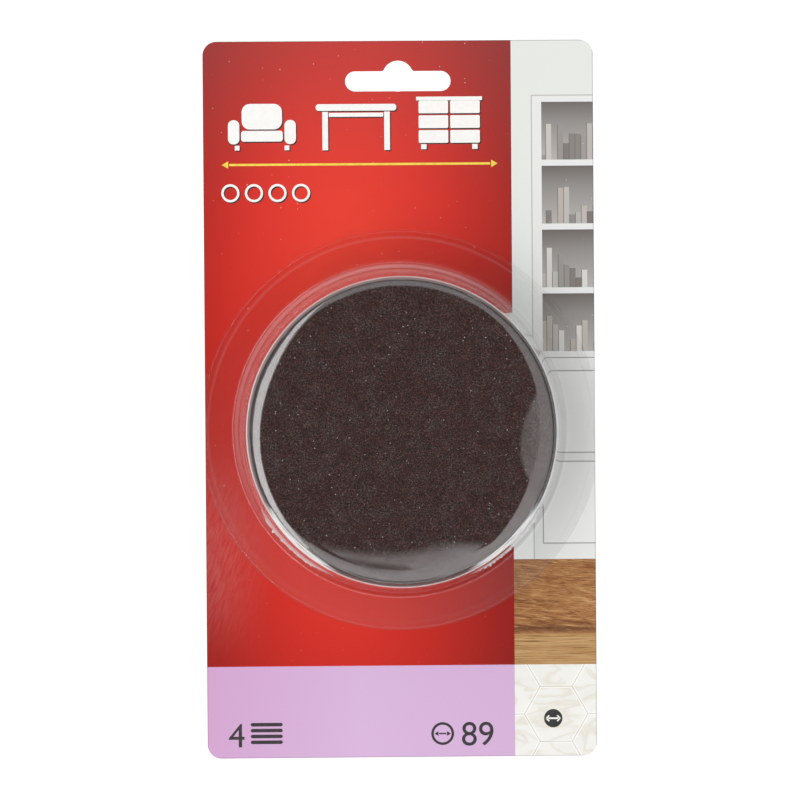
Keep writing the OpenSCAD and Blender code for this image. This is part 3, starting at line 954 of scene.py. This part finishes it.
def studio_light():
    """A white room, lightest overhead and to the front, with a lamp on the left.

    The gloss shows a bright ceiling, dim walls, a pale glow along the floor and the dark round the camera."""
    world = bpy.data.worlds.new("white_room")
    bpy.context.scene.world = world
    world.use_nodes = True
    world.node_tree.nodes.clear()
    put = partial(add, world.node_tree)
    way = put("TexCoord").outputs["Generated"]
    rise = put("SeparateXYZ", {"Vector": way}).outputs["Z"]
    back = put("VectorMath", {0: way, 1: ROOM_BACK}, operation="DOT_PRODUCT").outputs["Value"]
    glow = put("MapRange", {"Value": back, "From Min": -0.8, "From Max": 1.0, "To Min": GLOW_SHOWN[0],
                            "To Max": GLOW_SHOWN[1]})
    low = put("MapRange", {"Value": rise, "From Min": 0.3, "From Max": 0.12})
    room = put("Mix", {0: low, 2: WALL_SHOWN, 3: glow}, data_type="FLOAT")
    front = put("VectorMath", {0: way, 1: CEILING_FRONT}, operation="DOT_PRODUCT").outputs["Value"]
    ceiling = put("MapRange", {"Value": front, "From Min": 0.03, "From Max": 0.155,
                               "To Min": CEILING_SHOWN[0], "To Max": CEILING_SHOWN[1]})
    high = put("MapRange", {"Value": rise, "From Min": 0.77, "From Max": 0.93})
    room = put("Mix", {0: high, 2: room, 3: ceiling}, data_type="FLOAT")
    overhead = Vector((math.tan(DARK_AT[0]), math.tan(DARK_AT[1]), 1)).normalized()
    near = put("VectorMath", {0: way, 1: overhead}, operation="DOT_PRODUCT").outputs["Value"]
    lit = put("MapRange", {"Value": near, "From Min": math.cos(DARK_OUTER), "From Max": math.cos(DARK_INNER),
                           "To Min": 1.0, "To Max": DARK_SHOWN})
    shown = put("Math", {0: room, 1: lit}, operation="MULTIPLY")
    path = put("LightPath").outputs
    key = put("VectorMath", {0: way, 1: KEY_AT}, operation="DOT_PRODUCT").outputs["Value"]
    key = put("Math", {0: key, 1: 0.0}, operation="MAXIMUM")
    key = put("Math", {0: key, 1: 4.0}, operation="POWER")
    even = put("Math", {0: key, 1: KEY_LIGHT, 2: EVEN_LIGHT}, operation="MULTIPLY_ADD")
    mirrored = put("Mix", {0: path["Is Glossy Ray"], 2: even, 3: shown}, data_type="FLOAT")
    direct = put("Math", {0: path["Is Camera Ray"], 1: path["Is Transmission Ray"]}, operation="MAXIMUM")
    strength = put("Mix", {0: direct, 2: mirrored, 3: 1.0}, data_type="FLOAT")
    light = put("Background", {"Color": "#ffffff", "Strength": strength})
    put("OutputWorld", {"Surface": light})
    softbox("left_softbox", azimuth=180, near=18, far=28, width=1.3, brightness=3.4)


def photograph_camera():
    """The camera of the photograph: far off, almost square to the card."""
    turn = Matrix.Rotation(VIEW_TURN[2], 3, "Z") @ Matrix.Rotation(VIEW_TURN[1], 3, "Y")
    turn = (turn @ Matrix.Rotation(VIEW_TURN[0], 3, "X")).transposed()
    lens = bpy.data.cameras.new("photograph_camera")
    lens.sensor_width = SENSOR_WIDTH
    lens.lens = SENSOR_WIDTH * VIEW_DISTANCE / FRAME_WIDTH
    lens.clip_start = 0.01
    made = bpy.data.objects.new("photograph_camera", lens)
    place = turn @ Vector((-VIEW_OFFSET[0], -VIEW_OFFSET[1], VIEW_DISTANCE))
    made.matrix_world = Matrix.Translation(place) @ turn.to_4x4()
    bpy.context.scene.collection.objects.link(made)
    bpy.context.scene.camera = made


def dress_node(name, finish):
    """Gives a CAD node its finish."""
    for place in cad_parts[name].material_slots:
        place.material = finish


photograph_camera()
studio_light()
studio_floor()
bpy.context.scene.view_settings.view_transform = "Standard"

felt = needled_felt()
fibres = [
    felt_fibre("rust_felt_fibre", "#54332f", "#74463e"),
    felt_fibre("dark_felt_fibre", "#1f1818", "#3a2c2a"),
    felt_fibre("pale_felt_fibre", "#74645d", "#9a8b83"),
    felt_fibre("white_lint", "#cfcac6", "#f4f2f0"),
]
foam = eva_foam()
polypropylene = moulded_polypropylene()
adhesive = acrylic_adhesive()
for n in SLIDERS:
    felt_sole(n, felt)
    loose_fibres(n, fibres)
    grip_pad(n, foam)
    dress_node(f"slider_{n}_shell", polypropylene)
    dress_node(f"slider_{n}_felt_bond", adhesive)
    dress_node(f"slider_{n}_pad_bond", adhesive)
dress_node("backing_card", printed_board())
card_print(
    printing_ink("white_ink", "#f3f1ee", "#eeebe8"),
    printing_ink("yellow_ink", "#f0d84a", "#e2c53f"),
    printing_ink("grey_ink", "#252124", "#322d31"),
    printing_ink("black_ink", "#1f1e1f", "#2c2a2b"),
)
formed_blister(clear_pet(), cut_film_edge())
